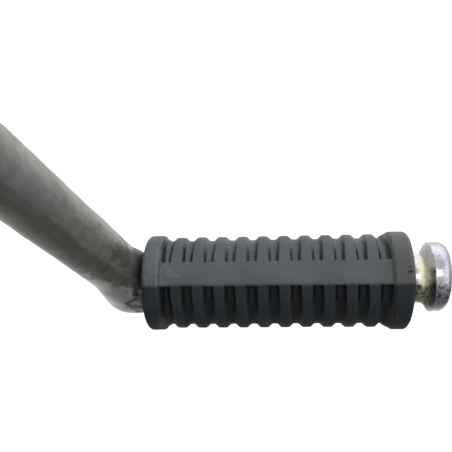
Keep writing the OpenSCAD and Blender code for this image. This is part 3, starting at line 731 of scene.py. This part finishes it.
def rubber_material():
    """Black rubber, greyed and scuffed on the side that the boot rubs, from one edge of the band
    over the top to the back."""
    material, n, shader, spot = start_material("worn_rubber", 0.5, 0.0, 0.22)
    s = skin(n, spot, Blotch_Scale=70.0, Grain_Scale=1600.0, Pit_Scale=420.0, Pits=0.15, Bump=0.12)
    height = plane_height(n, spot, BOOT_WAY)
    ragged = n.times(n.uneven(spot, 90.0, 3.0), 0.0016)
    rubbed = n.ramp(n.math("ADD", height, ragged), -0.0004, 0.0011)
    rubbed = n.times(rubbed, n.ramp(plane_height(n, spot, OVER_WAY), -0.012, 0.0))
    grey = n.mix(s["Blotch"], rgb(82, 87, 90), rgb(75, 82, 86))
    grey = n.mix(n.ramp(along_x(n, spot), 0.154, 0.160), grey, rgb(77, 79, 77))
    black = n.mix(s["Blotch"], rgb(39, 44, 47), rgb(34, 39, 42))
    # Scuffs on the inner flange, a scratch and its burr on the band, and flecks in the first groove
    scuff = mark(n, spot, (81.7, -2.5, -156.0), 5.0, (1.0, 0.8, 0.8), 1.4, 420.0)
    grey = n.over(grey, rgb(104, 103, 108), scuff, 0.35)
    scratch = n.math("MAXIMUM", mark(n, spot, (88.6, -5.4, -157.4), 1.5, (0.55, 1.6, 1.6), 0.5, 900.0),
                     mark(n, spot, (86.9, -4.6, -157.1), 0.9, (1.0, 0.7, 0.7), 0.5, 900.0))
    grey = n.over(grey, rgb(112, 120, 124), scratch, 0.28)
    flecks = mark(n, spot, (85.2, -16.0, -171.2), 3.2, (1.0, 1.0, 1.0), 2.2, 1500.0)
    black = n.over(black, rgb(92, 94, 92), flecks, 0.5)
    # Nicks in the outer flange, and one brown speck
    nick = n.math("MAXIMUM", mark(n, spot, (163.4, -5.4, -156.7), 0.75, (0.6, 1.5, 1.5), 0.7, 1200.0),
                  mark(n, spot, (163.0, -3.9, -156.3), 0.45, (0.6, 1.2, 1.2), 0.7, 1200.0))
    grey = n.over(grey, rgb(22, 26, 27), nick, 0.9)
    black = n.mix(mark(n, spot, (159.7, -15.7, -168.1), 0.35, ragged=0.3), black, rgb(120, 78, 50))
    # The ribs' tops are rubbed less than the band and the flanges
    from_middle = from_axis(n, spot)
    top = n.times(n.ramp(height, 0.0075, 0.0125), n.ramp(from_middle, 0.0160, 0.0157))
    grey = n.over(grey, rgb(66, 72, 75), top, 0.8)
    # Painted shade, standing in for the shade deep in the grooves: dark in the slits of the rubbed side, and
    # all over the floors of the grooves on the other
    grey = n.over(grey, rgb(17, 21, 27), n.ramp(from_middle, 0.01395, 0.01355), 0.92)
    black = n.over(black, rgb(18, 21, 23), n.ramp(from_middle, 0.0153, 0.0146), 0.85)
    rough = n.math("ADD", n.ramp(s["Blotch"], 0.0, 1.0, 0.42, 0.52), n.ramp(rubbed, 0.0, 1.0, 0.3, 0.0))
    wire_shader(n, shader, n.mix(rubbed, black, grey), rough, s["Normal"])
    return material


def steel_material(name, light, dark, rough, metallic, **grain):
    """Dulled plating over forged steel: two tones in slow blotches, pits darker and rougher."""
    material, n, shader, spot = start_material(name, rough, metallic)
    s = skin(n, spot, **grain)
    tone = n.mix(s["Blotch"], dark, light)
    tone = n.mix(s["Speck"], tone, rgb(60, 58, 52))
    uneven = n.ramp(s["Blotch"], 0.0, 1.0, rough + 0.06, rough - 0.05)
    wire_shader(n, shader, tone, n.math("ADD", uneven, n.times(s["Speck"], 0.2)), s["Normal"])
    return material


def arm_material():
    """Dulled forging: slow light and dark blotches with streaks along the shank, a painted reflection
    along its front as a dark band with a cooler grey beside it, a light patch on the elbow's front, a warm
    stain here and there, and dark dirt in patches where the arm goes into the rubber."""
    material, n, shader, spot = start_material("dulled_forging", 0.40, 0.85)
    s = skin(n, spot, Blotch_Scale=45.0, Grain_Scale=1100.0, Pit_Scale=620.0, Pits=0.0, Bump=0.25)
    x = along_x(n, spot)
    tone = n.mix(s["Blotch"], rgb(123, 123, 118), rgb(147, 146, 141))
    # Streaks along the shank, left by grinding before it was plated, and fine mottling
    drawn_out = {"Vector": spot, "Rotation": (0.0, -LEAN, 0.0), "Scale": (1.0, 1.0, 7.0)}
    along = n.add("Mapping", drawn_out, vector_type="TEXTURE").outputs["Vector"]
    streaks = n.ramp(n.noise(along, 140.0, 5.0, 0.62), 0.45, 0.54)
    tone = n.over(tone, rgb(98, 100, 95), streaks, 0.42)
    mottle = n.ramp(n.noise(spot, 420.0, 2.0), 0.40, 0.60)
    tone = n.over(tone, rgb(170, 170, 164), mottle, 0.15)
    # A painted reflection: a dark band along the shank's front, ragged at its edges, and a cooler grey beside
    # it further up
    front = n.math("ADD", plane_height(n, spot, ACROSS_WAY), n.times(n.uneven(along, 260.0, 4.0), 0.004))
    up_arm = plane_height(n, spot, SHANK_WAY)
    band = n.times(n.ramp(front, 0.0020, 0.0012), n.ramp(front, -0.0084, -0.0064))
    tone = n.over(tone, rgb(80, 83, 76), n.times(band, n.ramp(up_arm, 0.009, 0.018)), 0.52)
    # The cooler grey of the painted reflection
    painted_cool_reflection = n.times(n.ramp(front, 0.0012, 0.0020), n.ramp(front, 0.0086, 0.0064))
    tone = n.over(tone, rgb(108, 113, 115), n.times(painted_cool_reflection, n.ramp(up_arm, 0.044, 0.060)), 0.5)
    light_patch = mark(n, spot, (66.5, -9.5, -165.5), 14.0, (1.0, 1.0, 1.0), 0.8, 120.0)
    tone = n.over(tone, rgb(186, 188, 184), light_patch, 0.5)
    stain = n.ramp(n.noise(spot, 40.0, 3.0), 0.52, 0.62)
    tone = n.over(tone, rgb(146, 138, 122), stain, 0.35)
    # Dirt, in patches that noise makes and in six of its own, and one spot rubbed bright again
    patches = n.math("ADD", n.noise(spot, 190.0, 3.0, 0.55, 0.2), n.ramp(x, 0.066, 0.079, -0.06, 0.10))
    dirt = n.times(n.ramp(patches, 0.48, 0.60), n.ramp(x, 0.065, 0.072, 0.0, 0.8))
    for at, radius in (((74.7, 3.5, -162.2), 2.6), ((74.6, -3.0, -162.2), 2.3), ((73.4, -6.2, -163.6), 1.8),
                       ((74.8, -7.4, -164.7), 1.9), ((73.6, -8.9, -166.6), 2.0), ((72.0, -9.3, -167.6), 1.7)):
        dirt = n.math("MAXIMUM", dirt, mark(n, spot, at, radius, ragged=1.1, scale=330.0))
    tone = n.over(tone, rgb(54, 63, 55), dirt, 0.82)
    rubbed = mark(n, spot, (76.4, -7.1, -164.4), 0.9, ragged=0.4)
    tone = n.over(tone, rgb(178, 172, 154), rubbed, 0.8)
    uneven = n.ramp(s["Blotch"], 0.0, 1.0, 0.44, 0.36)
    wire_shader(n, shader, tone, n.math("ADD", uneven, n.times(dirt, 0.2)), s["Normal"])
    return material


def plate_material():
    """Bright zinc plate on the pin's neck and head: matte where the neck meets the flare, with a painted
    reflection of the bright room there, near white and yellow, and spotted, with a dark crescent on the
    flare's lower half, and pitted to bare grey steel on the side that lies lowest."""
    material, n, shader, spot = start_material("bright_plate", 0.14, 1.0)
    s = skin(n, spot, Blotch_Scale=160.0, Grain_Scale=1400.0, Pit_Scale=1300.0, Pits=0.6, Bump=0.2)
    # Soft edges of the marks along X in metres: where each mark has gone and where it is full
    neck_end, flare_end = (0.1716, 0.1706), (0.1722, 0.1716)
    reflection_start, reflection_end = (0.1668, 0.1684), (0.1722, 0.1710)
    dirt_start, ring_start, crescent_start = (0.1675, 0.1700), (0.1699, 0.1711), (0.1697, 0.1707)
    height, x = plane_height(n, spot, BOOT_WAY), along_x(n, spot)
    uneven = n.uneven(spot, 260.0, 5.0, 0.65)
    place_x = n.math("ADD", x, n.times(uneven, 0.0025))
    low = n.ramp(n.math("ADD", height, n.times(uneven, 0.010)), 0.0, -0.003)
    lowest = n.ramp(n.math("ADD", height, n.times(uneven, 0.006)), -0.0062, -0.0084)
    pits = n.ramp(n.noise(spot, 760.0, 4.0, 0.65), 0.44, 0.58)
    pits = n.times(pits, n.math("SUBTRACT", 1.0, lowest))
    on_neck = n.ramp(place_x, *neck_end)
    worn = n.math("MAXIMUM", n.math("ADD", n.times(pits, 0.68), 0.32), n.times(on_neck, 0.72))
    worn = n.times(low, worn, n.ramp(lowest, 0.0, 1.0, 1.0, 0.35))
    # A painted reflection where the neck meets the flare: the plate is matte there, near white, and yellow on
    # its lower part
    matte_painted_reflection = n.times(n.ramp(place_x, *reflection_start), n.ramp(place_x, *reflection_end))
    yellow = n.times(matte_painted_reflection, n.ramp(height, 0.0080, 0.0045))
    # Specks of dirt in the yellow, a ring of it round the flare, and the dark crescent
    on_flare = n.ramp(x, *flare_end)
    specks = n.times(n.ramp(n.noise(spot, 900.0, 3.0, 0.7), 0.60, 0.68), n.ramp(place_x, *dirt_start), yellow)
    ring = n.times(n.ramp(place_x, *ring_start), n.ramp(height, 0.0070, 0.0030), on_flare)
    dirt = n.math("MAXIMUM", specks, ring)
    crescent = n.times(n.ramp(place_x, *crescent_start), n.ramp(height, 0.0012, -0.0012))
    crescent = n.times(crescent, on_flare, n.ramp(lowest, 0.0, 1.0, 0.9, 0.2))
    tone = n.mix(s["Blotch"], rgb(172, 172, 180), rgb(162, 162, 170))
    # The painted reflection: near white, and yellow on its lower part
    tone = n.over(tone, rgb(240, 234, 234), matte_painted_reflection, 0.95)
    tone = n.over(tone, rgb(255, 253, 214), yellow, 0.95)
    tone = n.over(tone, rgb(70, 70, 62), s["Speck"], 0.7)
    tone = n.over(tone, rgb(84, 82, 50), dirt, 0.75)
    tone = n.mix(crescent, tone, rgb(50, 49, 40))
    tone = n.mix(worn, tone, n.mix(on_neck, rgb(60, 64, 72), rgb(84, 82, 74)))
    # The plate is matte where its reflection is painted
    n.put(shader.inputs["Metallic"], n.ramp(matte_painted_reflection, 0.0, 1.0, 1.0, 0.1))
    rough = n.math("ADD", n.ramp(s["Blotch"], 0.0, 1.0, 0.10, 0.16), n.times(matte_painted_reflection, 0.35))
    bump = n.add("Bump", {"Height": n.times(low, pits, -1.0), "Strength": 0.5, "Distance": 0.0004,
                          "Normal": s["Normal"]})
    wire_shader(n, shader, tone, n.math("ADD", rough, n.times(worn, 0.3)), bump.outputs["Normal"])
    return material


RUBBER = rubber_material()
ARM = arm_material()
PLATE = plate_material()
BOSS = steel_material("dulled_boss", rgb(149, 149, 143), rgb(122, 122, 116), 0.42, 0.85,
                      Blotch_Scale=55.0, Grain_Scale=1000.0, Pit_Scale=480.0, Pits=0.3, Bump=0.3)
ZINC = steel_material("zinc_plate", rgb(184, 180, 165), rgb(158, 154, 136), 0.30, 0.95,
                      Blotch_Scale=120.0, Grain_Scale=1500.0, Pit_Scale=700.0, Pits=0.2, Bump=0.15)
SPRING = steel_material("oiled_spring_steel", rgb(106, 106, 108), rgb(80, 80, 82), 0.32, 0.95,
                        Blotch_Scale=150.0, Grain_Scale=1500.0, Pit_Scale=800.0, Pits=0.1, Bump=0.1)
BALL = steel_material("bearing_ball", rgb(210, 210, 212), rgb(198, 198, 202), 0.12, 1.0,
                      Blotch_Scale=200.0, Grain_Scale=2500.0, Pit_Scale=900.0, Pits=0.0, Bump=0.02)


# The pieces
place(pedal_sleeve(), "arm", "pedal_rubber", RUBBER, "pedal_rubber")
arm = place(forged_arm(), "arm", "forged_arm", ARM, "kick_arm")
arm.data.materials.append(PLATE)
middle = np.zeros(len(arm.data.polygons) * 3)
arm.data.polygons.foreach_get("center", middle)
arm.data.polygons.foreach_set("material_index", (middle[::3] > PLATE_FROM).astype(np.int32))
place(arm_barrel(), "arm", "forged_arm", ARM)
dressed_copy("kick_boss", "boss_forging", "boss", "forged_boss", BOSS)
dressed_copy("pinch_bolt", "hex_bolt", "boss", "zinc_steel", ZINC)
dressed_copy("lock_washer", "spring_washer", "boss", "zinc_steel", ZINC)
dressed_copy("stub_washer", "plain_washer", "boss", "zinc_steel", ZINC)
dressed_copy("snap_ring", "outer_snap_ring", "boss", "spring_steel", SPRING)
dressed_copy("detent_ball", "click_ball", "ball", "ball_steel", BALL, 60.0)
dressed_copy("detent_spring", "click_spring", "boss", "spring_steel", SPRING, 70.0)


# The stage
def seen_directly(n, path):
    """1 for rays from the camera and for rays that came through something clear, and otherwise 0."""
    return n.math("MAXIMUM", path["Is Camera Ray"], path["Is Transmission Ray"])


def floor():
    """A white floor well below the hanging lever. It is there for the camera alone, with the lever's
    shadow on it; other rays pass through to the white room below."""
    size, low, own_light, matt_grey = 0.9, -0.30, 0.85, (0.3, 0.3, 0.3, 1)
    mesh = bpy.data.meshes.new("floor")
    corners = [(-size, -size, low), (size, -size, low), (size, size, low), (-size, size, low)]
    mesh.from_pydata(corners, [], [(0, 1, 2, 3)])
    obj = bpy.data.objects.new("floor", mesh)
    SCENE.collection.objects.link(obj)
    material = bpy.data.materials.new("white_floor")
    material.use_nodes = True
    n = Nodes(material.node_tree)
    n.tree.nodes.clear()
    shown = seen_directly(n, n.add("LightPath").outputs)
    both = n.add("AddShader")
    n.put(both.inputs[0], n.add("BsdfDiffuse", {"Color": matt_grey}).outputs[0])
    n.put(both.inputs[1], n.add("Emission", {"Color": (1, 1, 1, 1), "Strength": own_light}).outputs[0])
    cover = n.add("MixShader", {"Fac": shown})
    n.put(cover.inputs[1], n.add("BsdfTransparent").outputs[0])
    n.put(cover.inputs[2], both.outputs[0])
    n.add("OutputMaterial", {"Surface": cover.outputs[0]})
    mesh.materials.append(material)


# The room's soft panels: the way to each from the lever, how narrow it is, and its level. The last one
# takes light away. Over all ways the level comes to 0.87 on average
PANELS = [
    ("whole_room", (0.0, 0.0, 1.0), 0.0, 0.23),
    ("top_panel", (0.30, 0.87, 0.39), 7.0, 2.00),
    ("low_panel", (-0.14, 0.28, -0.95), 6.5, 1.51),
    ("right_panel", (0.97, 0.04, 0.23), 8.0, 0.25),
    ("front_right_panel", (0.72, -0.34, 0.61), 8.0, 1.48),
    ("front_window", (0.096, -0.285, 0.953), 130.0, 4.50),
    ("dark_corner", (0.63, -0.64, -0.44), 9.1, -0.41),
]


def world():
    """A room lit by large soft panels, each brightest in the middle, and white where it is seen."""
    made = bpy.data.worlds.new("studio")
    SCENE.world = made
    made.use_nodes = True
    n = Nodes(made.node_tree)
    n.tree.nodes.clear()
    way = n.add("TexCoord").outputs["Generated"]
    level = 0.0
    for name, middle, narrow, panel_level in PANELS:
        dot = n.vector("DOT_PRODUCT", way, Vector(middle).normalized())["Value"]
        near = n.times(n.math("ADD", dot, 1.0), 0.5)
        glow = n.times(n.math("POWER", near, narrow), panel_level)
        glow.node.name = name
        level = n.math("ADD", level, glow)
    # A mirrored way out of the room is never darker than a quarter of the white
    path = n.add("LightPath").outputs
    shown = n.math("MAXIMUM", seen_directly(n, path), n.times(path["Is Glossy Ray"], 0.25))
    back = n.add("Background", {"Color": (1, 1, 1, 1), "Strength": n.math("MAXIMUM", shown, level)})
    n.add("OutputWorld", {"Surface": back.outputs[0]})


def camera():
    """The photograph's viewpoint: above and in front of the pedal, looking down along the arm."""
    data = bpy.data.cameras.new("camera")
    obj = bpy.data.objects.new("camera", data)
    SCENE.collection.objects.link(obj)
    data.lens, data.sensor_width = 48.12, 36.0
    data.clip_start, data.clip_end = 0.01, 10.0
    right, up, back = (0.9953, 0.0357, -0.0898), (0.0201, 0.8327, 0.5533), (0.0946, -0.5525, 0.8282)
    turn = Matrix((right, up, back)).transposed()
    obj.rotation_mode = "QUATERNION"
    obj.rotation_quaternion = turn.to_quaternion()
    obj.location = (0.12428, -0.09890, 0.01091)
    SCENE.camera = obj


floor()
world()
camera()
SCENE.view_settings.view_transform = "Standard"
